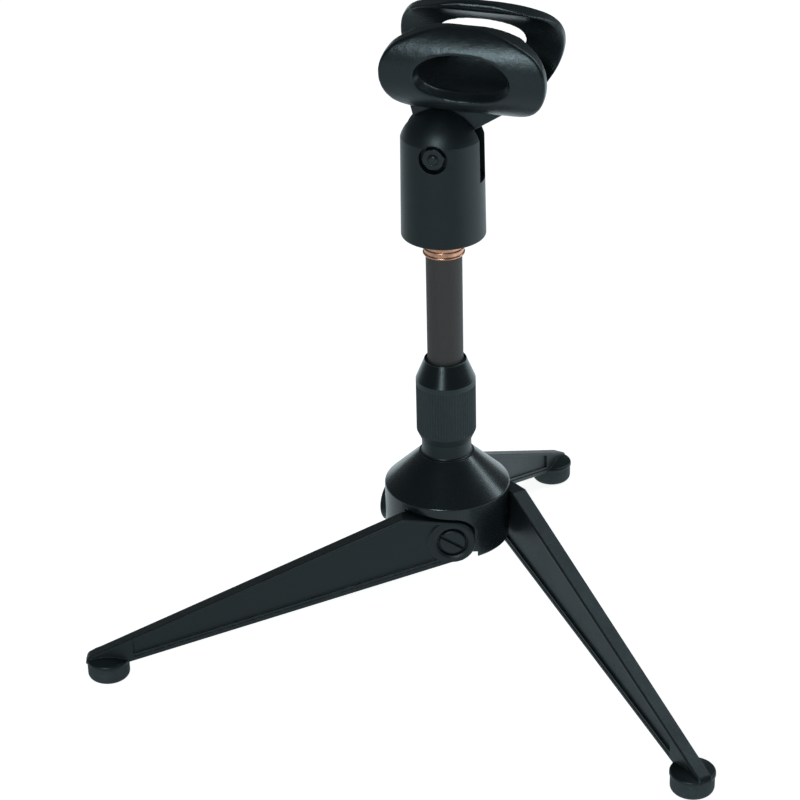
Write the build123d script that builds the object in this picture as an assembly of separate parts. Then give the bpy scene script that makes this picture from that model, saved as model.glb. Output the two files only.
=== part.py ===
from build123d import *
import math
import os

# Desktop microphone stand: a folding tripod base, a sliding riser and a swivelling mic clip.
# Millimetres and degrees, +Z up. Every shape is built about the riser's axis and is moved to the
# part's frame only when it is written: the origin is on the desk, at the middle of the footprint.

# ---- Driving dimensions ----

# Tripod
LEG_HEADINGS = {"left": 195.0, "right": 315.0, "rear": 75.0}
PIVOT_Z = 42.65
PIVOT_BACK = 0.9            # each pivot sits this far behind the riser's axis, seen along its leg
LEG_OUTER_Y = 18.1          # outer face of a leg's eye, measured from the riser's axis
EYE_THICK = 4.9
EYE_R = 6.4
FOOT_THICK = 4.1
KNEE_X = 13.0               # where the leg's top edge turns down
KNEE_Z = 50.44
KNEE_R = 0.6
TOP_SLOPE = 0.48
BOTTOM_Z = 35.98            # the lower edge, carried on to the riser's axis, is at this height
BOTTOM_ANGLE = 18.5
LEG_EDGE_R = 0.45
LEG_END_R = 4.0
FOOT_X = 98.07              # foot centre, measured along the leg from the riser's axis

# Recessed side panels of a leg
PANEL_DEPTH = 0.6
PANEL_TOP = 0.95
PANEL_BOTTOM = 2.25
PANEL_END_X = 90.5
BOSS_R = 6.8
GROOVE_START_X = 2.5
GROOVE_LOW = 1.25
GROOVE_WIDE = 0.45
GROOVE_DEPTH = 0.35

# Feet
CAP_R = 6.25
CAP_BOTTOM_Z = 5.1
CAP_EDGE_Z = 6.2
CAP_CROWN_Z = 7.2
CAP_ROUND_R = 0.7
SPIGOT_R = 3.0
SPIGOT_LOW_Z = 2.0
PAD_R = 6.0
PAD_CHAMFER = 1.3

# Leg pivots
SHOULDER_R = 2.55
PIVOT_BORE_R = 2.6
THREAD_R = 1.95
THREAD_IN = 4.2
HEAD_R = 3.65
HEAD_THICK = 1.2
HEAD_EDGE_R = 0.45
HEAD_SLOT_WIDE = 1.0
HEAD_SLOT_DEEP = 0.75
HEAD_SLOT_ANGLE = 31.0
COUNTERBORE_R = 4.35
COUNTERBORE_DEEP = 1.5
MOUTH_WIDE = 0.7             # the counterbore's conical mouth
MOUTH_DEEP = 0.4
WASHER_THICK = 0.3
WASHER_R = 4.9

# Hub casting
SKIRT_R = 17.65
SKIRT_LOW_Z = 36.5
RIM_Z = 52.8
RIM_EDGE_R = 0.55
CONE_TOP_R = 7.75
CONE_TOP_Z = 62.4
POCKET_FLOOR_Y = 12.8
POCKET_R = 7.1
RING_BORE_R = 6.2
SLEEVE_SEAT_Z = 46.0
RELIEF_IN_R = 8.2
RELIEF_OUT_R = 11.6
RELIEF_DEEP = 2.5

# Neck, clutch and guide
NECK_R = 6.95
NECK_IN_R = 5.8
NECK_TOP_Z = 80.0
FLARE_R = 0.75
FLARE_LIP = 0.15
BUSH_LOW_Z = 64.5
BUSH_TOP_Z = 71.5
COLLAR_R = 8.35
COLLAR_LOW_Z = 66.9
COLLAR_LOW_EDGE = 0.15      # how far its lower rim stands out from the neck
COLLAR_CHAMFER_Z = 69.7
KNURL_TOP_Z = 84.0
COLLAR_SHOULDER_Z = 85.5
COLLAR_TOP_Z = 91.6
COLLAR_LIP_R = 5.95
COLLAR_MOUTH_R = 5.6
COLLAR_CONE_START_Z = 83.0
KNURL_TEETH = 64
KNURL_DEEP = 0.24
COLLET_LOW_Z = 71.8
COLLET_TOP_Z = 91.3
COLLET_SLITS = 3
COLLET_SLIT_WIDE = 0.8
COLLET_SLIT_LOW_Z = 74.0

# Riser
TUBE_R = 5.0
TUBE_IN_R = 4.1
TUBE_LOW_Z = 48.4
TUBE_TOP_Z = 123.45
STOP_RING_Z = 49.25
STOP_RING_THICK = 0.9
STOP_RING_R = 5.7
STOP_GROOVE_R = 4.7
STUD_R = 4.76               # 3/8 inch thread, modelled plain at its outside diameter
STUD_TOP_Z = 138.0
PLUG_LOW_Z = 112.0

# Socket and its threaded insert
SOCKET_LOW_Z = 129.2
SOCKET_LOW_R = 11.55
SOCKET_TOP_R = 11.2
SOCKET_EDGE_R = 0.5
TILT_Z = 154.8
EAR_SPHERE_R = 11.6
SLOT_WIDE = 6.0
SLOT_LOW_Z = 146.0
INSERT_R = 6.5
INSERT_TOP_Z = 143.0
INSERT_COLLAR_R = 5.45
INSERT_RIDGE_R = 0.36
INSERT_RIDGE_PITCH = 1.5
INSERT_RIDGES = 4
RECESS_R = 3.9
RECESS_FLOOR_Y = 8.3

# Tilt bolt
BOLT_R = 1.5
BOLT_END_Y = 11.25
NUT_FLATS = 5.5
NUT_THICK = 2.3
BOLT_HEAD_R = 2.8
BOLT_HEAD_THICK = 1.9
HEX_KEY_FLATS = 2.0
TILT_WASHER_R = 5.0
TILT_WASHER_THICK = 0.4

# Mic clip, in its own frame: origin at the tilt bolt, X along the microphone
REST_TILT = 1.9
JAW_MID_X = 7.6
MIC_AXIS_Z = 25.95
CLIP_OUT_R = 14.6
CLIP_IN_R = 11.2
CLIP_LONG = 44.2
LIP_ANGLE = 58.0            # how far each jaw rises past the microphone's middle
JAW_ROLL = 8.5              # the jaws sit turned this far on the keel, towards the nut's side
OUTLINE_R = 12.3            # the jaw's outline is a stadium: this high above its middle ...
OUTLINE_LOW = 13.4          # ... and this deep below it
ARCH_R = 38.0               # the jaws' tops are arched
ARCH_TOP_Z = 12.55          # the arch's highest point, above the microphone's axis
ARCH_CORNER_R = 9.0         # and rounded where they meet its ends
WINDOW_LONG = 26.0
WINDOW_HIGH = 15.6
WINDOW_IN_LONG = 22.4
WINDOW_IN_HIGH = 10.8
WINDOW_IN_Y = 10.2          # the window narrows from the jaw's outer face to here
LUG_R = 6.6
LUG_THICK = 5.0
KEEL_RIGHT_X = 17.0
KEEL_LEFT_X = -8.6
KEEL_MEET_Z = 11.4
KEEL_TOP_Z = 14.3
KEEL_HEEL_X = -6.1          # where the keel's left edge leaves the lug
KEEL_HEEL_Z = 2.4

GAP = 0.05                  # working clearance between pieces that stay together
RUNNING = 0.05              # radial clearance of sliding and turning fits
FAR = 40.0                  # a length longer than any cut needs


# ---- Helpers ----

def turned(*points):
    """A solid of revolution about Z from (radius, height) points."""
    return revolve(Plane.XZ * make_face(Polyline(*points, close=True)), Axis.Z)


def tube(inner_r, outer_r, low_z, top_z):
    return turned((inner_r, low_z), (outer_r, low_z), (outer_r, top_z), (inner_r, top_z))


def along_y(sketch, low_y, high_y):
    """Extrudes a sketch drawn in (X, Z) from low_y to high_y."""
    plane = Plane(origin=(0, low_y, 0), x_dir=(1, 0, 0), z_dir=(0, -1, 0))
    return extrude(plane * sketch, amount=low_y - high_y)


def upright(sketch, low_z, high_z):
    """Extrudes a sketch drawn in (X, Y) from low_z to high_z."""
    return extrude(Pos(0, 0, low_z) * sketch, amount=high_z - low_z)


def polygon(*points):
    return make_face(Polyline(*points, close=True))


def disc_along_y(radius, x, z, low_y, high_y):
    return along_y(Pos(x, z) * Circle(radius), low_y, high_y)


def about_axis(shape, heading):
    return Rot(0, 0, heading) * shape


# ---- Leg outline, in the leg's own frame: X along the leg, Y out along its pivot ----

def top_line(x):
    return KNEE_Z - TOP_SLOPE * (x - KNEE_X)


def bottom_line(x):
    """The leg's straight lower edge."""
    return BOTTOM_Z - math.tan(math.radians(BOTTOM_ANGLE)) * x


def bottom_x(z):
    """Where the lower edge is at height z."""
    return (BOTTOM_Z - z) / math.tan(math.radians(BOTTOM_ANGLE))


LEG_MID_Y = LEG_OUTER_Y - EYE_THICK / 2
FOOT_END_X = FOOT_X + CAP_R
EYE_TOP_Z = PIVOT_Z + EYE_R


def leg_plan(inset):
    """The leg seen from above: it tapers from eye to foot. The inset is taken off each side."""
    taper = (EYE_THICK - FOOT_THICK) / 2 / FOOT_X
    start_half = EYE_THICK / 2 - inset + taper * FAR
    end_half = EYE_THICK / 2 - inset - taper * (FOOT_X + FAR)
    return polygon(
        (-FAR, LEG_MID_Y - start_half),
        (FOOT_X + FAR, LEG_MID_Y - end_half),
        (FOOT_X + FAR, LEG_MID_Y + end_half),
        (-FAR, LEG_MID_Y + start_half),
    )


def leg_side():
    """The leg's solid outline seen from the side."""
    beam = polygon(
        (-PIVOT_BACK, EYE_TOP_Z),
        (KNEE_X, KNEE_Z),
        (FOOT_END_X, top_line(FOOT_END_X)),
        (FOOT_END_X, CAP_BOTTOM_Z),
        (bottom_x(CAP_BOTTOM_Z), CAP_BOTTOM_Z),
        (-PIVOT_BACK, bottom_line(-PIVOT_BACK)),
    )
    heel = beam.vertices().sort_by(Axis.X)[-2:].sort_by(Axis.Y)[-1]
    beam = fillet(heel, min(LEG_END_R, (top_line(FOOT_END_X) - CAP_BOTTOM_Z) * 1.5))
    knee = beam.vertices().sort_by_distance((KNEE_X, KNEE_Z))[0]
    beam = fillet(knee, KNEE_R)
    return beam + Pos(-PIVOT_BACK, PIVOT_Z) * Circle(EYE_R)


def panel_side():
    """The recessed web: bounded by the two flanges, the round boss and the foot."""
    lean = math.hypot(1, TOP_SLOPE)
    low_lean = 1 / math.cos(math.radians(BOTTOM_ANGLE))
    low = PANEL_BOTTOM * low_lean
    web = polygon(
        (-PIVOT_BACK, EYE_TOP_Z - PANEL_TOP),
        (KNEE_X - PANEL_TOP * TOP_SLOPE, KNEE_Z - PANEL_TOP),
        (PANEL_END_X, top_line(PANEL_END_X) - PANEL_TOP * lean),
        (PANEL_END_X, bottom_line(PANEL_END_X) + low),
        (-PIVOT_BACK, bottom_line(-PIVOT_BACK) + low),
    )
    return web - Pos(-PIVOT_BACK, PIVOT_Z) * Circle(BOSS_R)


def groove_side():
    """A shallow line that runs along the lower flange."""
    lean = 1 / math.cos(math.radians(BOTTOM_ANGLE))
    low = GROOVE_LOW * lean
    high = (GROOVE_LOW + GROOVE_WIDE) * lean
    return polygon(
        (GROOVE_START_X, bottom_line(GROOVE_START_X) + low),
        (PANEL_END_X, bottom_line(PANEL_END_X) + low),
        (PANEL_END_X, bottom_line(PANEL_END_X) + high),
        (GROOVE_START_X, bottom_line(GROOVE_START_X) + high),
    )


def leg():
    low_z = CAP_BOTTOM_Z - 1
    high_z = KNEE_Z + 1
    body = along_y(leg_side(), LEG_MID_Y - EYE_THICK, LEG_MID_Y + EYE_THICK)
    body = body & upright(leg_plan(0), low_z, high_z)
    side_faces = body.faces().sort_by(SortBy.AREA)[-2:]
    outline = [e for face in side_faces for e in face.edges()]
    outline = [e for e in outline if e.center().Z > CAP_BOTTOM_Z + 0.2]
    body = fillet(outline, LEG_EDGE_R)

    panel = along_y(panel_side(), 0, FAR) - upright(leg_plan(PANEL_DEPTH), low_z, high_z)
    groove = along_y(groove_side(), 0, FAR) - upright(leg_plan(GROOVE_DEPTH), low_z, high_z)
    body = body - panel - groove

    cap = turned(
        (0, CAP_BOTTOM_Z),
        (CAP_R, CAP_BOTTOM_Z),
        (CAP_R, CAP_EDGE_Z),
        (CAP_R / 3, CAP_CROWN_Z),
        (0, CAP_CROWN_Z),
    )
    rim = cap.edges().filter_by(GeomType.CIRCLE).sort_by(SortBy.RADIUS)[-2:].sort_by(Axis.Z)[-1]
    cap = fillet(rim, CAP_ROUND_R)
    spigot = Pos(0, 0, SPIGOT_LOW_Z) * extrude(Circle(SPIGOT_R), CAP_BOTTOM_Z - SPIGOT_LOW_Z + 0.5)
    body = body + Pos(FOOT_X, LEG_MID_Y, 0) * (cap + spigot)

    bore = disc_along_y(PIVOT_BORE_R, -PIVOT_BACK, PIVOT_Z, 0, FAR)
    floor_y = LEG_OUTER_Y - COUNTERBORE_DEEP
    sink = turned(
        (0, 0),
        (COUNTERBORE_R, 0),
        (COUNTERBORE_R, COUNTERBORE_DEEP - MOUTH_DEEP),
        (COUNTERBORE_R + 2 * MOUTH_WIDE, COUNTERBORE_DEEP + MOUTH_DEEP),
        (0, COUNTERBORE_DEEP + MOUTH_DEEP),
    )
    return body - bore - Pos(-PIVOT_BACK, floor_y, PIVOT_Z) * Rot(-90, 0, 0) * sink


def foot_pad():
    pad = tube(0, PAD_R, 0, CAP_BOTTOM_Z - GAP / 2)
    bottom = pad.edges().filter_by(GeomType.CIRCLE).sort_by(Axis.Z)[0]
    pad = chamfer(bottom, PAD_CHAMFER)
    hole = tube(0, SPIGOT_R + GAP / 2, SPIGOT_LOW_Z - GAP, CAP_BOTTOM_Z + 1)
    return Pos(FOOT_X, LEG_MID_Y, 0) * (pad - hole)


# ---- Leg pivots ----

def pivot_screw():
    """A slotted shoulder screw along Y: thread in the hub, shoulder in the leg, head in the sink."""
    seat_y = POCKET_FLOOR_Y + GAP / 2
    head_low_y = LEG_OUTER_Y - COUNTERBORE_DEEP + GAP / 2
    head_top_y = head_low_y + HEAD_THICK
    x, z = -PIVOT_BACK, PIVOT_Z
    head = disc_along_y(HEAD_R, x, z, head_low_y, head_top_y)
    edge = head.edges().filter_by(GeomType.CIRCLE).sort_by(Axis.Y)[-1]
    head = fillet(edge, HEAD_EDGE_R)
    slot = Pos(x, z) * Rot(0, 0, HEAD_SLOT_ANGLE) * Rectangle(3 * HEAD_R, HEAD_SLOT_WIDE)
    head = head - along_y(slot, head_top_y - HEAD_SLOT_DEEP, head_top_y + 1)
    shoulder = disc_along_y(SHOULDER_R, x, z, seat_y, head_low_y + 0.01)
    thread = disc_along_y(THREAD_R, x, z, POCKET_FLOOR_Y - THREAD_IN, seat_y + 0.01)
    return head + shoulder + thread


def leg_washer():
    middle_y = (POCKET_FLOOR_Y + LEG_OUTER_Y - EYE_THICK) / 2
    low_y = middle_y - WASHER_THICK / 2
    ring = Circle(WASHER_R) - Circle(SHOULDER_R + GAP)
    return along_y(Pos(-PIVOT_BACK, PIVOT_Z) * ring, low_y, low_y + WASHER_THICK)


# ---- Hub ----

def leg_pocket():
    """Room for one leg's eye: round behind and above it, open below and towards the foot."""
    rise = (KNEE_Z - EYE_TOP_Z) / (KNEE_X + PIVOT_BACK)
    ceiling_z = PIVOT_Z + POCKET_R
    opening = polygon(
        (-PIVOT_BACK - POCKET_R, PIVOT_Z),
        (-PIVOT_BACK, ceiling_z),
        (FAR, ceiling_z + rise * (FAR + PIVOT_BACK)),
        (FAR, SKIRT_LOW_Z - 5),
        (-PIVOT_BACK - POCKET_R, SKIRT_LOW_Z - 5),
    )
    opening = opening + Pos(-PIVOT_BACK, PIVOT_Z) * Circle(POCKET_R)
    thread = disc_along_y(
        THREAD_R + GAP, -PIVOT_BACK, PIVOT_Z, POCKET_FLOOR_Y - THREAD_IN - 0.3, POCKET_FLOOR_Y + 1
    )
    return along_y(opening, POCKET_FLOOR_Y, FAR) + thread


def hub_body():
    hub = turned(
        (RING_BORE_R, SKIRT_LOW_Z),
        (RELIEF_IN_R, SKIRT_LOW_Z),
        (RELIEF_IN_R, SKIRT_LOW_Z + RELIEF_DEEP),
        (RELIEF_OUT_R, SKIRT_LOW_Z + RELIEF_DEEP),
        (RELIEF_OUT_R, SKIRT_LOW_Z),
        (SKIRT_R, SKIRT_LOW_Z),
        (SKIRT_R, RIM_Z),
        (CONE_TOP_R, CONE_TOP_Z),
        (NECK_R + GAP, CONE_TOP_Z),
        (NECK_R + GAP, SLEEVE_SEAT_Z),
        (RING_BORE_R, SLEEVE_SEAT_Z),
    )
    edges = hub.edges().filter_by(GeomType.CIRCLE)
    edges = [e for e in edges if abs(e.radius - SKIRT_R) < 0.01]
    hub = fillet(edges, RIM_EDGE_R)
    for heading in LEG_HEADINGS.values():
        hub = hub - about_axis(leg_pocket(), heading)
    return hub


def neck_sleeve():
    """The turned tube that stands in the hub and carries the clutch; it flares on to the cone."""
    flare_low_z = CONE_TOP_Z + GAP
    sleeve = turned(
        (NECK_IN_R, SLEEVE_SEAT_Z + GAP),
        (NECK_R, SLEEVE_SEAT_Z + GAP),
        (NECK_R, flare_low_z),
        (NECK_R + FLARE_R, flare_low_z),
        (NECK_R + FLARE_R, flare_low_z + FLARE_LIP),
        (NECK_R, flare_low_z + FLARE_LIP),
        (NECK_R, NECK_TOP_Z),
        (NECK_IN_R, NECK_TOP_Z),
    )
    corner = [
        e for e in sleeve.edges().filter_by(GeomType.CIRCLE)
        if abs(e.radius - NECK_R) < 0.01 and abs(e.center().Z - flare_low_z - FLARE_LIP) < 0.01
    ]
    return fillet(corner, FLARE_R * 0.95)


def guide_bush():
    return tube(TUBE_R + RUNNING, NECK_IN_R - GAP / 2, BUSH_LOW_Z, BUSH_TOP_Z)


def collet():
    """A slit ring that the collar's inner cone squeezes on to the riser."""
    shape = turned(
        (TUBE_R + RUNNING, COLLET_LOW_Z),
        (NECK_IN_R - GAP, COLLET_LOW_Z),
        (NECK_IN_R - GAP, NECK_TOP_Z + GAP),
        (NECK_R - 0.2, NECK_TOP_Z + GAP),
        (NECK_R - 0.2, COLLAR_CONE_START_Z - 0.8),
        (COLLAR_MOUTH_R - 0.18, COLLET_TOP_Z),
        (TUBE_R + RUNNING, COLLET_TOP_Z),
    )
    for i in range(COLLET_SLITS):
        slit = Pos(NECK_R, 0) * Rectangle(2 * NECK_R, COLLET_SLIT_WIDE)
        cut = upright(slit, COLLET_SLIT_LOW_Z, COLLAR_TOP_Z)
        shape = shape - about_axis(cut, 210 + i * 360 / COLLET_SLITS)
    return shape


def knurl_ring():
    """The toothed outline of the grip, as a star with one point per tooth."""
    points = []
    for i in range(2 * KNURL_TEETH):
        angle = math.pi * i / KNURL_TEETH
        radius = COLLAR_R - KNURL_DEEP * (i % 2)
        points.append((radius * math.cos(angle), radius * math.sin(angle)))
    return polygon(*points)


def clutch_collar():
    outer = turned(
        (0, COLLAR_LOW_Z),
        (NECK_R + COLLAR_LOW_EDGE, COLLAR_LOW_Z),
        (COLLAR_R, COLLAR_CHAMFER_Z),
        (COLLAR_R, COLLAR_SHOULDER_Z),
        (COLLAR_LIP_R, COLLAR_TOP_Z - 0.3),
        (COLLAR_LIP_R, COLLAR_TOP_Z),
        (0, COLLAR_TOP_Z),
    )
    crown = [
        e for e in outer.edges().filter_by(GeomType.CIRCLE)
        if e.center().Z > COLLAR_SHOULDER_Z - 0.01 and e.radius > COLLAR_LIP_R - 0.01
    ]
    crown = [e for e in crown if e.center().Z > COLLAR_TOP_Z - 0.01 or e.radius > COLLAR_R - 0.01]
    outer = fillet(crown, 0.25)
    grip = upright(knurl_ring(), COLLAR_LOW_Z, KNURL_TOP_Z)
    plain = tube(0, COLLAR_R + 1, KNURL_TOP_Z, COLLAR_TOP_Z + 1)
    hollow = turned(
        (0, COLLAR_LOW_Z - 1),
        (NECK_R + RUNNING, COLLAR_LOW_Z - 1),
        (NECK_R + RUNNING, COLLAR_CONE_START_Z),
        (COLLAR_MOUTH_R, COLLAR_TOP_Z),
        (COLLAR_MOUTH_R, COLLAR_TOP_Z + 1),
        (0, COLLAR_TOP_Z + 1),
    )
    return (outer & (grip + plain)) - hollow


# ---- Riser ----

def riser_tube():
    shape = tube(TUBE_IN_R, TUBE_R, TUBE_LOW_Z, TUBE_TOP_Z)
    low_z = STOP_RING_Z - GAP
    return shape - tube(STOP_GROOVE_R, TUBE_R + 1, low_z, low_z + STOP_RING_THICK + 2 * GAP)


def riser_stop_ring():
    ring = tube(STOP_GROOVE_R + GAP, STOP_RING_R, STOP_RING_Z, STOP_RING_Z + STOP_RING_THICK)
    gap = Pos(STOP_RING_R, 0) * Rectangle(2 * STOP_RING_R, 2.0)
    return ring - upright(gap, STOP_RING_Z - 1, STOP_RING_Z + STOP_RING_THICK + 1)


def riser_top_stud():
    base_z = TUBE_TOP_Z + GAP / 2
    return turned(
        (0, PLUG_LOW_Z),
        (TUBE_IN_R - GAP / 2, PLUG_LOW_Z),
        (TUBE_IN_R - GAP / 2, base_z),
        (STUD_R, base_z),
        (STUD_R, STUD_TOP_Z - 0.7),
        (STUD_R - 0.7, STUD_TOP_Z),
        (0, STUD_TOP_Z),
    )


# ---- Socket ----

def thread_insert():
    """A brass sleeve: knurled core inside the socket, ridged collar showing below it."""
    bore_r = STUD_R + RUNNING
    low_z = TUBE_TOP_Z + GAP
    step_z = SOCKET_LOW_Z + GAP
    shape = turned(
        (bore_r, low_z),
        (INSERT_COLLAR_R, low_z),
        (INSERT_COLLAR_R, step_z),
        (INSERT_R, step_z),
        (INSERT_R, INSERT_TOP_Z),
        (bore_r, INSERT_TOP_Z),
    )
    for i in range(INSERT_RIDGES):
        ridge_z = low_z + INSERT_RIDGE_R + i * INSERT_RIDGE_PITCH
        ridge = Pos(INSERT_COLLAR_R - 0.02, ridge_z) * Circle(INSERT_RIDGE_R)
        shape = shape + revolve(Plane.XZ * ridge, Axis.Z)
    return shape


def socket_body():
    """A round post whose top is split into two rounded ears."""
    top_z = TILT_Z + EAR_SPHERE_R
    post = turned(
        (0, SOCKET_LOW_Z),
        (SOCKET_LOW_R, SOCKET_LOW_Z),
        (SOCKET_TOP_R, TILT_Z + 3.2),
        (SOCKET_TOP_R, top_z),
        (0, top_z),
    )
    bottom = [e for e in post.edges().filter_by(GeomType.CIRCLE) if e.center().Z < SOCKET_LOW_Z + 0.01]
    post = fillet(bottom, SOCKET_EDGE_R)
    ball = Pos(0, 0, TILT_Z) * Sphere(EAR_SPHERE_R)
    post = post & (ball + tube(0, SOCKET_LOW_R + 1, SOCKET_LOW_Z - 1, TILT_Z))

    slot = Rectangle(2 * FAR, SLOT_WIDE)
    post = post - upright(slot, SLOT_LOW_Z, top_z + 1)
    bore = tube(0, INSERT_R + GAP / 2, SOCKET_LOW_Z - 1, INSERT_TOP_Z + GAP)
    post = post - bore
    post = post - disc_along_y(BOLT_R + GAP, 0, TILT_Z, -FAR, FAR)
    for low_y, high_y in ((-FAR, -RECESS_FLOOR_Y), (RECESS_FLOOR_Y, FAR)):
        post = post - disc_along_y(RECESS_R, 0, TILT_Z, low_y, high_y)
    return post


def pivot_bolt():
    """The tilt bolt: button head in the rear recess, domed end standing out of the nut in front."""
    head_low_y = RECESS_FLOOR_Y + GAP / 2
    shank = disc_along_y(BOLT_R, 0, TILT_Z, -BOLT_END_Y, head_low_y + 0.01)
    end = shank.edges().filter_by(GeomType.CIRCLE).sort_by(Axis.Y)[0]
    shank = fillet(end, 0.9)
    head = disc_along_y(BOLT_HEAD_R, 0, TILT_Z, head_low_y, head_low_y + BOLT_HEAD_THICK)
    rim = head.edges().filter_by(GeomType.CIRCLE).sort_by(Axis.Y)[-1]
    head = fillet(rim, 1.0)
    key = Pos(0, TILT_Z) * RegularPolygon(HEX_KEY_FLATS / math.sqrt(3), 6)
    key_low_y = head_low_y + BOLT_HEAD_THICK - 1.2
    return shank + (head - along_y(key, key_low_y, FAR))


def pivot_nut():
    """A hexagon nut with its outer corners turned off."""
    high_y = -RECESS_FLOOR_Y - GAP / 2
    low_y = high_y - NUT_THICK
    corner_r = NUT_FLATS / math.sqrt(3)
    hexagon = Pos(0, TILT_Z) * Rot(0, 0, 12) * RegularPolygon(corner_r, 6)
    nut = along_y(hexagon, low_y, high_y)
    turned_blank = disc_along_y(corner_r, 0, TILT_Z, low_y, high_y)
    face = turned_blank.edges().filter_by(GeomType.CIRCLE).sort_by(Axis.Y)[0]
    nut = nut & chamfer(face, 0.35)
    return nut - disc_along_y(BOLT_R + GAP / 2, 0, TILT_Z, -FAR, FAR)


def pivot_washers():
    """Two thin washers that fill the slot beside the lug."""
    washers = []
    middle_y = (SLOT_WIDE / 2 + LUG_THICK / 2) / 2
    ring = Pos(0, TILT_Z) * (Circle(TILT_WASHER_R) - Circle(BOLT_R + GAP))
    for side in (-1, 1):
        low_y = side * middle_y - TILT_WASHER_THICK / 2
        washers.append(along_y(ring, low_y, low_y + TILT_WASHER_THICK))
    return washers


# ---- Mic clip ----

def jaw_plane(side, distance):
    """An upright plane beside the microphone's axis, facing out of one jaw."""
    return Plane(origin=(0, side * distance, 0), x_dir=(1, 0, 0), z_dir=(0, side, 0))


def jaw_outline():
    """A stadium with an arched top; its lower half is a little deeper than its upper half."""
    half = CLIP_LONG / 2 - OUTLINE_R
    upper = SlotOverall(CLIP_LONG, 2 * OUTLINE_R) & Pos(0, ARCH_TOP_Z - ARCH_R) * Circle(ARCH_R)
    upper = upper & Pos(0, FAR / 2) * Rectangle(2 * FAR, FAR)
    corners = [v for v in upper.vertices() if v.Y > 0.1 * OUTLINE_R and abs(v.X) > half]
    upper = fillet(corners, ARCH_CORNER_R)
    lower = Rectangle(2 * half, 2 * OUTLINE_LOW)
    for side in (-1, 1):
        lower += Pos(side * half, 0) * Ellipse(OUTLINE_R, OUTLINE_LOW)
    return upper + (lower & Pos(0, -FAR / 2) * Rectangle(2 * FAR, FAR))


def mic_clip():
    """A springy C-shaped cradle with an oval window in each jaw, on a keel with a round lug."""
    lip = math.radians(LIP_ANGLE)
    wall = CLIP_OUT_R - CLIP_IN_R
    wall_r = CLIP_IN_R + wall / 2
    section = Circle(CLIP_OUT_R) - polygon(
        (0, 0),
        (FAR * math.cos(lip), FAR * math.sin(lip)),
        (-FAR * math.cos(lip), FAR * math.sin(lip)),
    )
    for side in (-1, 1):
        section += Pos(side * wall_r * math.cos(lip), wall_r * math.sin(lip)) * Circle(wall / 2)
    shell = extrude(Plane.YZ * section, amount=CLIP_LONG, both=True)
    for side in (-1, 1):
        window = loft([
            jaw_plane(side, WINDOW_IN_Y) * Ellipse(WINDOW_IN_LONG / 2, WINDOW_IN_HIGH / 2),
            jaw_plane(side, CLIP_OUT_R) * Ellipse(WINDOW_LONG / 2, WINDOW_HIGH / 2),
        ])
        throat = Ellipse(WINDOW_IN_LONG / 2, WINDOW_IN_HIGH / 2)
        shell = shell - window - extrude(jaw_plane(side, WINDOW_IN_Y) * throat, -WINDOW_IN_Y / 2)
    shell = shell & along_y(jaw_outline(), -FAR, FAR)
    shell = Pos(JAW_MID_X, 0, MIC_AXIS_Z) * Rot(JAW_ROLL, 0, 0) * shell

    keel = polygon(
        (0, 0),
        (KEEL_RIGHT_X, KEEL_MEET_Z),
        (KEEL_RIGHT_X, KEEL_TOP_Z),
        (KEEL_LEFT_X, KEEL_TOP_Z),
        (KEEL_LEFT_X, KEEL_MEET_Z),
        (KEEL_HEEL_X, KEEL_HEEL_Z),
    )
    keel = along_y(keel + Circle(LUG_R), -LUG_THICK / 2, LUG_THICK / 2)
    mic_axis = Pos(JAW_MID_X, 0, MIC_AXIS_Z) * Rot(0, 90, 0)
    shape = shell + keel - mic_axis * Cylinder(CLIP_IN_R, 2 * CLIP_LONG)
    shape = shape - disc_along_y(BOLT_R + RUNNING, 0, 0, -FAR, FAR)
    return Pos(0, 0, TILT_Z) * Rot(0, REST_TILT, 0) * shape


# ---- Assembly ----

def foot_centre(heading):
    angle = math.radians(heading)
    x = FOOT_X * math.cos(angle) - LEG_MID_Y * math.sin(angle)
    y = FOOT_X * math.sin(angle) + LEG_MID_Y * math.cos(angle)
    return x, y


def footprint_middle():
    feet = [foot_centre(heading) for heading in LEG_HEADINGS.values()]
    middle_x = (min(x for x, y in feet) + max(x for x, y in feet)) / 2
    middle_y = (min(y for x, y in feet) + max(y for x, y in feet)) / 2
    return middle_x, middle_y


def group(shapes):
    """Separate solids that share one node."""
    solids = [solid for shape in shapes for solid in shape.solids()]
    return Compound(solids)


def around_hub(shape):
    return group(about_axis(shape, heading) for heading in LEG_HEADINGS.values())


nodes = {
    "hub_body": hub_body(),
    "neck_sleeve": neck_sleeve(),
    "guide_bush": guide_bush(),
    "collet": collet(),
    "leg_pivot_screws": around_hub(pivot_screw()),
    "leg_wave_washers": around_hub(leg_washer()),
    "clutch_collar": clutch_collar(),
    "riser_tube": riser_tube(),
    "riser_stop_ring": riser_stop_ring(),
    "riser_top_stud": riser_top_stud(),
    "thread_insert": thread_insert(),
    "socket_body": socket_body(),
    "pivot_bolt": pivot_bolt(),
    "pivot_nut": pivot_nut(),
    "pivot_washers": group(pivot_washers()),
    "mic_clip": mic_clip(),
}
one_leg = leg()
one_pad = foot_pad()
for side, heading in LEG_HEADINGS.items():
    nodes["leg_" + side] = about_axis(one_leg, heading)
    nodes["foot_pad_" + side] = about_axis(one_pad, heading)

middle_x, middle_y = footprint_middle()
os.makedirs("parts", exist_ok=True)
for name, shape in nodes.items():
    export_step(Pos(-middle_x, -middle_y, 0) * shape, f"parts/{name}.step")
print("riser axis in the part's frame:", round(-middle_x, 4), round(-middle_y, 4))
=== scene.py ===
import math

import bmesh
import bpy
from mathutils import Matrix, Vector


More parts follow.
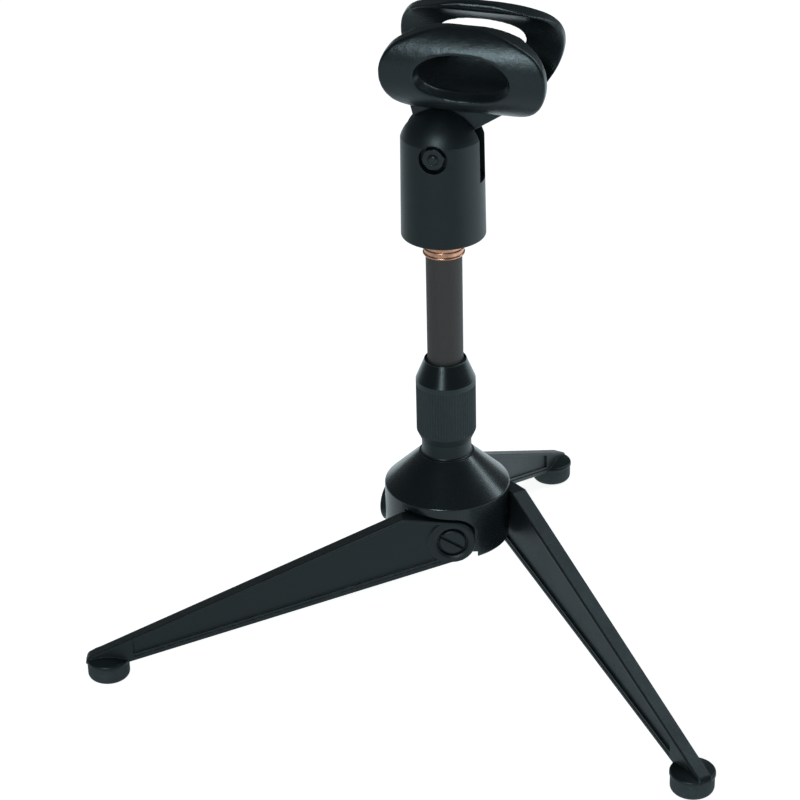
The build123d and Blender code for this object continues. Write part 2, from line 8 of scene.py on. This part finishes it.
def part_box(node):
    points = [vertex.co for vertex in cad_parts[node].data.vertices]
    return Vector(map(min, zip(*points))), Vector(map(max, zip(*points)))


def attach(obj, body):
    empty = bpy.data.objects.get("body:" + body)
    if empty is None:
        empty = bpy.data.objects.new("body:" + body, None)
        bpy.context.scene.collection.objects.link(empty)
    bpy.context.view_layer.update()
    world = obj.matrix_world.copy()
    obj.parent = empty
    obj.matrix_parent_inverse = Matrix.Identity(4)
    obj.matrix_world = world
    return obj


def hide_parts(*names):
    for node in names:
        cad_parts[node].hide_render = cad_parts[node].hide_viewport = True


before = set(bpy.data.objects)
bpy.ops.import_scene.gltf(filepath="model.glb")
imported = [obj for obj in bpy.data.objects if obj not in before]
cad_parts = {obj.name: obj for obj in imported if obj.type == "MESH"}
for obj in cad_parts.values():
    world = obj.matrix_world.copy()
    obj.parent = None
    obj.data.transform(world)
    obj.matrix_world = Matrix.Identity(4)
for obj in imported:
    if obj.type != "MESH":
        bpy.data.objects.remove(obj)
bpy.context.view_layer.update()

# The looks of the desktop microphone stand. Metres, in the frame of the CAD model.

MM = 0.001
SIDES = ("left", "right", "rear")

tube_low, tube_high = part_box("riser_tube")
riser_axis = (tube_low + tube_high) / 2          # its x and y are the riser's


# ---- Node materials ----

class Recipe:
    """A material's node tree, with short names for the nodes that the finishes share."""

    def __init__(self, name):
        self.material = bpy.data.materials.new(name)
        self.material.use_nodes = True
        self.tree = self.material.node_tree
        self.surface = self.tree.nodes["Principled BSDF"]
        self.place = self.tree.nodes.new("ShaderNodeTexCoord").outputs["Object"]

    def node(self, kind, settings=None, **inputs):
        made = self.tree.nodes.new("ShaderNode" + kind)
        for key, value in (settings or {}).items():
            setattr(made, key, value)
        for key, value in inputs.items():
            self.feed(made.inputs[key.replace("_", " ")], value)
        return made

    def feed(self, socket, value):
        if isinstance(value, bpy.types.NodeSocket):
            self.tree.links.new(value, socket)
        elif isinstance(value, (tuple, list)) and len(value) == 3 and socket.type == "RGBA":
            socket.default_value = (*value, 1.0)
        else:
            socket.default_value = value

    def stretched(self, x, y, z):
        """The object's coordinates, scaled along each axis."""
        return self.node("Mapping", Vector=self.place, Scale=(x, y, z)).outputs["Vector"]

    def around(self, centre):
        """The object's coordinates, measured from a point."""
        shift = tuple(-v for v in centre)
        return self.node("Mapping", Vector=self.place, Location=shift).outputs["Vector"]

    def speckle(self, size_mm, detail=2.0, roughness=0.5, where=None):
        """Noise whose blotches are about size_mm wide, from 0 to 1."""
        made = self.node("TexNoise", Vector=where or self.place, Scale=1 / (size_mm * MM),
                         Detail=detail, Roughness=roughness)
        return made.outputs["Fac"]

    def spread(self, value, low, high, start=0.0, end=1.0):
        """Stretches value so that low becomes start and high becomes end."""
        made = self.node("MapRange", Value=value, From_Min=low, From_Max=high,
                         To_Min=start, To_Max=end)
        return made.outputs["Result"]

    def times(self, a, b):
        made = self.node("Math", {"operation": "MULTIPLY"})
        self.feed(made.inputs[0], a)
        self.feed(made.inputs[1], b)
        return made.outputs[0]

    def plus(self, a, b):
        made = self.node("Math", {"operation": "ADD"})
        self.feed(made.inputs[0], a)
        self.feed(made.inputs[1], b)
        return made.outputs[0]

    def blend(self, share, first, second):
        made = self.node("Mix", {"data_type": "RGBA"})
        self.feed(made.inputs["Factor"], share)
        self.feed(made.inputs[6], first)
        self.feed(made.inputs[7], second)
        return made.outputs[2]

    def soft_edges(self, radius_mm):
        """The surface direction, with sharp edges rounded at this radius."""
        return self.node("Bevel", {"samples": 6}, Radius=radius_mm * MM).outputs["Normal"]

    def edge_share(self, radius_mm):
        """1 on sharp edges, 0 on flat stretches."""
        rounded = self.node("Bevel", {"samples": 6}, Radius=radius_mm * MM).outputs["Normal"]
        straight = self.node("NewGeometry").outputs["Normal"]
        dot = self.node("VectorMath", {"operation": "DOT_PRODUCT"})
        self.feed(dot.inputs[0], rounded)
        self.feed(dot.inputs[1], straight)
        return self.spread(dot.outputs["Value"], 0.995, 0.86)

    def bump(self, height, depth_mm, normal=None, strength=1.0):
        made = self.node("Bump", Height=height, Distance=depth_mm * MM, Strength=strength)
        if normal is not None:
            self.feed(made.inputs["Normal"], normal)
        return made.outputs["Normal"]

    def finish(self, **inputs):
        for key, value in inputs.items():
            self.feed(self.surface.inputs[key.replace("_", " ")], value)
        return self.material


COOL = (0.84, 0.97, 1.0)           # the blue-green cast in the sheen of the black pieces


def enamel(name, gloss, coat, grain_mm=0.02):
    """Satin black enamel on a zinc casting: fine sand grain, soft peel, edges rubbed grey."""
    r = Recipe(name)
    patches = r.speckle(9.0, detail=4.0)
    sand = r.speckle(0.42, detail=3.0, roughness=0.6)
    peel = r.speckle(2.6, detail=1.0)
    rubbed = r.times(r.edge_share(0.35), r.spread(r.speckle(1.7, detail=4.0), 0.42, 0.62))
    paint = r.blend(patches, (0.0040, 0.0060, 0.0070), (0.0075, 0.0105, 0.0115))
    paint = r.blend(r.times(rubbed, 0.55), paint, (0.060, 0.068, 0.070))
    shine = r.plus(r.spread(patches, 0.3, 0.7, gloss - 0.03, gloss + 0.04),
                   r.spread(sand, 0.3, 0.7, -0.03, 0.05))
    normal = r.bump(peel, 0.035, r.soft_edges(0.30))
    normal = r.bump(sand, grain_mm, normal)
    return r.finish(Base_Color=paint, Roughness=shine, Normal=normal, Specular_Tint=COOL,
                    Coat_Weight=coat, Coat_Roughness=gloss * 0.8)


def turned_black(name, gloss):
    """Black plated steel off a lathe: fine rings about Z, a little wear on the corners."""
    r = Recipe(name)
    rings = r.speckle(1.0, detail=3.0, where=r.stretched(0.15, 0.15, 9.0))
    patches = r.speckle(5.0, detail=3.0)
    worn = r.times(r.edge_share(0.25), r.spread(r.speckle(1.1, detail=3.0), 0.4, 0.6))
    paint = r.blend(patches, (0.0045, 0.0068, 0.0078), (0.0085, 0.0115, 0.0125))
    paint = r.blend(r.times(worn, 0.5), paint, (0.075, 0.080, 0.082))
    shine = r.plus(r.spread(rings, 0.3, 0.7, gloss - 0.04, gloss + 0.05),
                   r.spread(patches, 0.3, 0.7, -0.03, 0.03))
    normal = r.bump(rings, 0.006, r.soft_edges(0.18))
    return r.finish(Base_Color=paint, Roughness=shine, Normal=normal, Specular_Tint=COOL)


def clutch_black(name, cone_z):
    """The clutch collar: a dull grip below cone_z and a glossy cone above it; the grip's colour is
    painted lighter than the cone's black as painted light, on what is one black finish.
    """
    r = Recipe(name)
    height = r.node("SeparateXYZ", Vector=r.place).outputs["Z"]
    on_cone = r.spread(height, cone_z - 0.1 * MM, cone_z + 0.1 * MM)
    rings = r.speckle(1.0, detail=3.0, where=r.stretched(0.15, 0.15, 9.0))
    patches = r.speckle(5.0, detail=3.0)
    worn = r.times(r.edge_share(0.2), r.spread(r.speckle(1.1, detail=3.0), 0.35, 0.6))
    # painted light: the grip's base colour is set lighter than the cone's, standing in for the light
    # its upright sides catch; the dull roughness is the grip's own
    grip = r.blend(patches, (0.0090, 0.0125, 0.0140), (0.0140, 0.0190, 0.0205))
    cone = r.blend(patches, (0.0035, 0.0055, 0.0062), (0.0060, 0.0085, 0.0095))
    paint = r.blend(on_cone, grip, cone)
    paint = r.blend(r.times(worn, 0.5), paint, (0.080, 0.086, 0.088))
    shine = r.plus(r.spread(rings, 0.3, 0.7, 0.48, 0.58), r.spread(on_cone, 0.0, 1.0, 0.0, -0.32))
    normal = r.bump(rings, 0.006, r.soft_edges(0.10))
    return r.finish(Base_Color=paint, Roughness=shine, Normal=normal, Specular_Tint=COOL,
                    Specular_IOR_Level=0.7)


def lacquered_tube(name):
    """Matt warm grey lacquer on a drawn tube, with long faint drawing lines."""
    r = Recipe(name)
    lines = r.speckle(0.35, detail=3.0, where=r.stretched(1.0, 1.0, 0.02))
    dust = r.speckle(0.5, detail=4.0, roughness=0.7)
    paint = r.blend(lines, (0.043, 0.037, 0.035), (0.060, 0.051, 0.048))
    paint = r.blend(r.spread(dust, 0.62, 0.8, 0.0, 0.35), paint, (0.079, 0.071, 0.066))
    shine = r.spread(dust, 0.3, 0.7, 0.52, 0.66)
    normal = r.bump(lines, 0.008, r.soft_edges(0.2))
    normal = r.bump(dust, 0.006, normal)
    return r.finish(Base_Color=paint, Roughness=shine, Normal=normal)


def turned_brass(name):
    """Reddish brass with turning rings and slight tarnish."""
    r = Recipe(name)
    rings = r.speckle(1.0, detail=2.0, where=r.stretched(0.2, 0.2, 12.0))
    tarnish = r.speckle(1.6, detail=4.0)
    colour = r.blend(r.spread(tarnish, 0.35, 0.7), (0.90, 0.50, 0.34), (0.62, 0.31, 0.20))
    shine = r.spread(rings, 0.3, 0.7, 0.20, 0.34)
    normal = r.bump(rings, 0.008, r.soft_edges(0.12))
    return r.finish(Base_Color=colour, Metallic=1.0, Roughness=shine, Normal=normal)


def bare_steel(name, tone):
    """Plain or zinc plated steel for the hidden springs, rings and stud."""
    r = Recipe(name)
    scratches = r.speckle(1.0, detail=4.0, where=r.stretched(6.0, 1.0, 1.0))
    clouds = r.speckle(3.0, detail=3.0)
    low, high = tone * 0.8, tone
    colour = r.blend(clouds, (low, low, low * 1.02), (high, high, high * 1.02))
    shine = r.spread(scratches, 0.3, 0.7, 0.22, 0.42)
    normal = r.bump(scratches, 0.004, r.soft_edges(0.08))
    return r.finish(Base_Color=colour, Metallic=1.0, Roughness=shine, Normal=normal)


def oxide_steel(name):
    """Black oxide on small fasteners: near black, oily sheen, bare corners."""
    r = Recipe(name)
    mottle = r.speckle(0.8, detail=4.0)
    bare = r.times(r.edge_share(0.15), r.spread(r.speckle(0.5, detail=3.0), 0.35, 0.6))
    colour = r.blend(mottle, (0.016, 0.020, 0.022), (0.034, 0.039, 0.041))
    colour = r.blend(r.times(bare, 0.6), colour, (0.20, 0.21, 0.21))
    shine = r.spread(mottle, 0.3, 0.7, 0.24, 0.40)
    normal = r.bump(mottle, 0.006, r.soft_edges(0.10))
    return r.finish(Base_Color=colour, Roughness=shine, Metallic=0.35, Normal=normal,
                    Specular_Tint=COOL)


def moulded_plastic(name, gloss, tone=1.0):
    """Black moulded plastic: spark-eroded grain, slow sink marks."""
    r = Recipe(name)
    grain = r.speckle(0.30, detail=3.0, roughness=0.65)
    sink = r.speckle(7.0, detail=2.0)
    low = tuple(tone * v for v in (0.0048, 0.0070, 0.0080))
    high = tuple(tone * v for v in (0.0085, 0.0115, 0.0128))
    colour = r.blend(r.speckle(4.0, detail=4.0), low, high)
    scuffs = r.times(r.edge_share(0.4), r.spread(r.speckle(1.3, detail=4.0), 0.45, 0.65))
    colour = r.blend(r.times(scuffs, 0.4), colour, (0.045, 0.052, 0.055))
    shine = r.plus(r.spread(grain, 0.3, 0.7, gloss - 0.04, gloss + 0.06),
                   r.spread(sink, 0.3, 0.7, -0.02, 0.02))
    normal = r.bump(sink, 0.05, r.soft_edges(0.30))
    normal = r.bump(grain, 0.012, normal)
    return r.finish(Base_Color=colour, Roughness=shine, Normal=normal, Specular_Tint=COOL)


def soft_moulding(name):
    """The clip's flexible plastic: a broad waxy sheen, broken up by slow ripples and fine scuffs."""
    r = Recipe(name)
    ripples = r.speckle(2.4, detail=4.0)
    grain = r.speckle(0.55, detail=4.0, roughness=0.7)
    hand_marks = r.speckle(11.0, detail=3.0)
    colour = r.blend(hand_marks, (0.0042, 0.0060, 0.0070), (0.0078, 0.0104, 0.0120))
    shine = r.plus(r.spread(hand_marks, 0.3, 0.7, 0.27, 0.35), r.spread(grain, 0.3, 0.7, -0.03, 0.05))
    normal = r.bump(ripples, 0.09)
    normal = r.bump(grain, 0.035, normal)
    return r.finish(Base_Color=colour, Roughness=shine, Normal=normal,
                    Specular_IOR_Level=0.6, Specular_Tint=COOL)


def foot_rubber(name):
    """Matt grey-black rubber with a dusty bloom and pores."""
    r = Recipe(name)
    bloom = r.speckle(2.2, detail=5.0, roughness=0.6)
    pores = r.speckle(0.22, detail=2.0)
    colour = r.blend(r.spread(bloom, 0.35, 0.7), (0.020, 0.026, 0.028), (0.044, 0.051, 0.053))
    shine = r.spread(bloom, 0.3, 0.7, 0.62, 0.8)
    normal = r.bump(pores, 0.02)
    return r.finish(Base_Color=colour, Roughness=shine, Normal=normal, Specular_Tint=COOL)


COLLAR_CONE_Z = 85.4 * MM          # where the collar's cone begins

finishes = {
    "hub_body": enamel("hub_enamel", 0.25, 0.3, grain_mm=0.006),
    "legs": enamel("leg_enamel", 0.42, 0.0),
    "neck": turned_black("neck_black", 0.36),
    "collar": clutch_black("collar_black", COLLAR_CONE_Z),
    "screws": turned_black("screw_black", 0.34),
    "tube": lacquered_tube("riser_lacquer"),
    "brass": turned_brass("insert_brass"),
    "spring": bare_steel("spring_steel", 0.55),
    "zinc": bare_steel("zinc_steel", 0.72),
    "nylon": moulded_plastic("black_nylon", 0.50, tone=1.6),
    "socket": moulded_plastic("socket_plastic", 0.40),
    "fastener": oxide_steel("bolt_black"),
    "clip": soft_moulding("clip_moulding"),
    "rubber": foot_rubber("foot_rubber"),
}

cad_finishes = {
    "hub_body": "hub_body",
    "leg_left": "legs",
    "leg_right": "legs",
    "leg_rear": "legs",
    "neck_sleeve": "neck",
    "clutch_collar": "collar",
    "leg_pivot_screws": "screws",
    "leg_wave_washers": "spring",
    "guide_bush": "nylon",
    "collet": "nylon",
    "riser_tube": "tube",
    "riser_stop_ring": "spring",
    "riser_top_stud": "zinc",
    "thread_insert": "brass",
    "socket_body": "socket",
    "pivot_bolt": "fastener",
    "pivot_nut": "fastener",
    "pivot_washers": "nylon",
}


def paint(piece, finish):
    piece.data.materials.clear()
    piece.data.materials.append(finishes[finish])


for node, finish in cad_finishes.items():
    paint(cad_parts[node], finish)


# ---- The mic clip: the CAD clip's shape, with the rounded corners of a flexible moulding ----

CLIP_VOXEL = 0.28 * MM
CLIP_SMOOTHING = 24
LUG_KEPT_R = 3.0 * MM              # the bolt's hole keeps its sharp shape within this radius
JAW_CROWN = 1.0 * MM               # the jaws' ends curve inwards by this much


def apply_modifiers(piece):
    """Replaces the piece's mesh by the result of its modifiers."""
    scene_state = bpy.context.evaluated_depsgraph_get()
    mesh = bpy.data.meshes.new_from_object(piece.evaluated_get(scene_state))
    old = piece.data
    piece.modifiers.clear()
    piece.data = mesh
    bpy.data.meshes.remove(old)


def clear_of_bolt(vertices):
    """The numbers of the vertices farther than LUG_KEPT_R from the tilt bolt's axis."""
    low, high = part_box("pivot_bolt")
    axis = (low + high) / 2
    away = []
    for vertex in vertices:
        if math.hypot(vertex.co.x - axis.x, vertex.co.z - axis.z) > LUG_KEPT_R:
            away.append(vertex.index)
    return away


def soft_copy(node, name, voxel, smoothing):
    """A node's shape, remeshed evenly and with rounded edges, apart from round the tilt bolt."""
    piece = bpy.data.objects.new(name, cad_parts[node].data.copy())
    bpy.context.scene.collection.objects.link(piece)
    remesh = piece.modifiers.new("even", "REMESH")
    remesh.mode = "VOXEL"
    remesh.voxel_size = voxel
    apply_modifiers(piece)
    rounded = piece.vertex_groups.new(name="rounded")
    rounded.add(clear_of_bolt(piece.data.vertices), 1.0, "REPLACE")
    round_off = piece.modifiers.new("round", "SMOOTH")
    round_off.factor = 0.5
    round_off.iterations = smoothing
    round_off.vertex_group = rounded.name
    apply_modifiers(piece)
    for face in piece.data.polygons:
        face.use_smooth = True
    return piece


def crown(piece, depth):
    """Bows the jaws, so that their ends stand this much nearer to each other than their middles."""
    low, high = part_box("mic_clip")
    middle, half = (low + high) / 2, (high - low) / 2
    for vertex in piece.data.vertices:
        along = (vertex.co.x - middle.x) / half.x
        aside = (vertex.co.y - middle.y) / half.y
        vertex.co.y -= depth * aside * along * along


clip = soft_copy("mic_clip", "mic_clip_moulding", CLIP_VOXEL, CLIP_SMOOTHING)
crown(clip, JAW_CROWN)
paint(clip, "clip")
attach(clip, "clip")
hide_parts("mic_clip")


# ---- Rubber feet ----

PAD_STEPS = 96
PAD_CORNER = 1.5 * MM
PAD_RECESS = 0.35 * MM


def quarter(centre_r, centre_z, radius, start, end, steps=8):
    """Points of an arc in the (radius, height) plane, angles in degrees."""
    points = []
    for i in range(steps + 1):
        angle = math.radians(start + (end - start) * i / steps)
        points.append((centre_r + radius * math.cos(angle), centre_z + radius * math.sin(angle)))
    return points


def lathe(name, outline, centre, steps):
    """Turns a closed (radius, height) outline about the vertical line through centre."""
    mesh = bmesh.new()
    rings = []
    for i in range(steps):
        angle = 2 * math.pi * i / steps
        across = Vector((math.cos(angle), math.sin(angle), 0))
        rings.append([mesh.verts.new(centre + across * r + Vector((0, 0, z))) for r, z in outline])
    for i in range(steps):
        here, there = rings[i], rings[(i + 1) % steps]
        for j in range(len(outline)):
            k = (j + 1) % len(outline)
            mesh.faces.new((here[j], there[j], there[k], here[k]))
    bmesh.ops.remove_doubles(mesh, verts=mesh.verts, dist=0.001 * MM)
    bmesh.ops.recalc_face_normals(mesh, faces=mesh.faces)
    data = bpy.data.meshes.new(name)
    mesh.to_mesh(data)
    mesh.free()
    for face in data.polygons:
        face.use_smooth = True
    piece = bpy.data.objects.new(name, data)
    bpy.context.scene.collection.objects.link(piece)
    return piece


def rubber_foot(side):
    low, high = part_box("foot_pad_" + side)
    centre = Vector(((low.x + high.x) / 2, (low.y + high.y) / 2, 0))
    outer = (high.x - low.x) / 2
    top = high.z
    spigot = 3.0 * MM
    outline = [(0.0, PAD_RECESS), (outer * 0.55, PAD_RECESS), (outer * 0.62, 0.0)]
    outline += quarter(outer - PAD_CORNER, PAD_CORNER, PAD_CORNER, -90, 0)
    outline += quarter(outer - 0.25 * MM, top - 0.25 * MM, 0.25 * MM, 0, 90, steps=4)
    outline += [(spigot + 0.05 * MM, top), (spigot + 0.05 * MM, 1.9 * MM), (0.0, 1.9 * MM)]
    pad = lathe("foot_rubber_" + side, outline, centre, PAD_STEPS)
    paint(pad, "rubber")
    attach(pad, "leg_" + side)
    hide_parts("foot_pad_" + side)


for side in SIDES:
    rubber_foot(side)


# ---- Floor, lights and camera ----

CAMERA_AZIMUTH = 15.0
CAMERA_ELEVATION = 27.89
CAMERA_DISTANCE = 742.8 * MM
CAMERA_ROLL = 1.36                 # the camera leans this far clockwise
CAMERA_LENS = 119.99
AIM_ACROSS = -12.83 * MM           # the view's middle is this far right of the riser ...
AIM_HEIGHT = 78.58 * MM            # ... and this far above the floor


def direction(azimuth, elevation):
    """From the object towards an azimuth and elevation; azimuth 0 is -Y and 90 is +X."""
    a, e = math.radians(azimuth), math.radians(elevation)
    return Vector((math.sin(a) * math.cos(e), -math.cos(a) * math.cos(e), math.sin(e)))


riser_foot = Vector((riser_axis.x, riser_axis.y, 0))


def add_camera():
    across = direction(CAMERA_AZIMUTH + 90, 0)
    aim = riser_foot + across * AIM_ACROSS + Vector((0, 0, AIM_HEIGHT))
    back = direction(CAMERA_AZIMUTH, CAMERA_ELEVATION)
    camera = bpy.data.objects.new("camera", bpy.data.cameras.new("camera"))
    bpy.context.scene.collection.objects.link(camera)
    turn = (-back).to_track_quat("-Z", "Y").to_matrix().to_4x4()
    roll = Matrix.Rotation(math.radians(-CAMERA_ROLL), 4, "Z")
    camera.matrix_world = Matrix.Translation(aim + back * CAMERA_DISTANCE) @ turn @ roll
    camera.data.lens = CAMERA_LENS
    camera.data.clip_start = 0.01
    camera.data.clip_end = 50.0
    bpy.context.scene.camera = camera


SKY_TINT = (0.88, 1.02, 1.07)      # the studio's light is slightly cool
BRIGHT_SIDE = 140                  # the studio is brightest behind the object, to the right
FLOOR_NEAR = 0.25                  # the glow that the floor gives the object in front of it ...
FLOOR_FAR = 0.80                   # ... and behind it
FLOOR_REACH = 0.15                 # how far from the riser those levels are reached
FLOOR_SEEN = 0.90                  # what the camera sees, so that the floor stays near white


def add_floor():
    """A pale floor; its glow towards the object is weaker in front of the object."""
    half = 6.0
    mesh = bpy.data.meshes.new("floor")
    mesh.from_pydata([(-half, -half, 0), (half, -half, 0), (half, half, 0), (-half, half, 0)],
                     [], [(0, 1, 2, 3)])
    floor = bpy.data.objects.new("floor", mesh)
    floor.location.z = -0.05 * MM
    bpy.context.scene.collection.objects.link(floor)
    r = Recipe("floor_white")
    behind = r.node("VectorMath", {"operation": "DOT_PRODUCT"})
    r.feed(behind.inputs[0], r.place)
    r.feed(behind.inputs[1], direction(CAMERA_AZIMUTH + BRIGHT_SIDE, 0))
    given = r.spread(behind.outputs["Value"], -FLOOR_REACH, FLOOR_REACH, FLOOR_NEAR, FLOOR_FAR)
    seen = r.node("LightPath").outputs["Is Camera Ray"]
    glow = r.node("Mix", {"data_type": "FLOAT"}, Factor=seen, A=given, B=FLOOR_SEEN)
    tint = r.blend(seen, SKY_TINT, (1.0, 1.0, 1.0))
    r.finish(Base_Color=(0.55, 0.56, 0.57), Roughness=0.9, Emission_Color=tint,
             Emission_Strength=glow.outputs["Result"])
    mesh.materials.append(r.material)


SKY_LEVELS = ((0.0, 0.14), (0.30, 0.11), (0.60, 0.09))       # brightness by height
SKY_FRONT = 0.8                    # how much of it comes from the camera's side ...
SKY_BACK = 1.15                    # ... and from the far right


def tinted(level):
    return tuple(level * channel for channel in SKY_TINT)


def add_world():
    """Pale near the horizon and behind, dark overhead; the camera itself sees plain white."""
    world = bpy.data.worlds.new("studio")
    bpy.context.scene.world = world
    world.use_nodes = True
    tree = world.node_tree
    nodes, link = tree.nodes, tree.links.new
    place = nodes.new("ShaderNodeTexCoord")
    split = nodes.new("ShaderNodeSeparateXYZ")
    link(place.outputs["Generated"], split.inputs[0])
    ramp = nodes.new("ShaderNodeValToRGB")
    link(split.outputs["Z"], ramp.inputs["Fac"])
    stops = ramp.color_ramp.elements
    stops.remove(stops[1])
    for height, level in SKY_LEVELS:
        stop = stops[0] if height == 0 else stops.new(height)
        stop.color = (*tinted(level), 1)
    towards = nodes.new("ShaderNodeVectorMath")
    towards.operation = "DOT_PRODUCT"
    link(place.outputs["Generated"], towards.inputs[0])
    towards.inputs[1].default_value = direction(CAMERA_AZIMUTH + BRIGHT_SIDE, 0)
    share = nodes.new("ShaderNodeMapRange")
    link(towards.outputs["Value"], share.inputs["Value"])
    share.inputs["From Min"].default_value = -1.0
    share.inputs["To Min"].default_value = SKY_FRONT
    share.inputs["To Max"].default_value = SKY_BACK
    shaded = nodes.new("ShaderNodeVectorMath")
    shaded.operation = "SCALE"
    link(ramp.outputs["Color"], shaded.inputs[0])
    link(share.outputs["Result"], shaded.inputs["Scale"])
    background = nodes["Background"]
    path = nodes.new("ShaderNodeLightPath")
    mix = nodes.new("ShaderNodeMix")
    mix.data_type = "RGBA"
    link(path.outputs["Is Camera Ray"], mix.inputs["Factor"])
    link(shaded.outputs["Vector"], mix.inputs[6])
    mix.inputs[7].default_value = (1, 1, 1, 1)
    link(mix.outputs[2], background.inputs["Color"])
    background.inputs["Strength"].default_value = 1.0


def add_light(name, azimuth, elevation, distance, width, height, power):
    light = bpy.data.lights.new(name, "AREA")
    light.shape = "ELLIPSE"
    light.size = width
    light.size_y = height
    light.energy = power
    light.color = SKY_TINT
    holder = bpy.data.objects.new(name, light)
    bpy.context.scene.collection.objects.link(holder)
    middle = riser_foot + Vector((0, 0, 0.09))
    holder.location = middle + direction(azimuth, elevation) * distance
    holder.rotation_mode = "QUATERNION"
    holder.rotation_quaternion = (-direction(azimuth, elevation)).to_track_quat("-Z", "Y")


add_camera()
add_floor()
add_world()
add_light("key", CAMERA_AZIMUTH - 19, 28, 1.2, 0.35, 0.35, 4.4)
add_light("strip", CAMERA_AZIMUTH + 112, 45, 1.3, 0.25, 1.4, 4.1)
bpy.context.scene.view_settings.view_transform = "Standard"
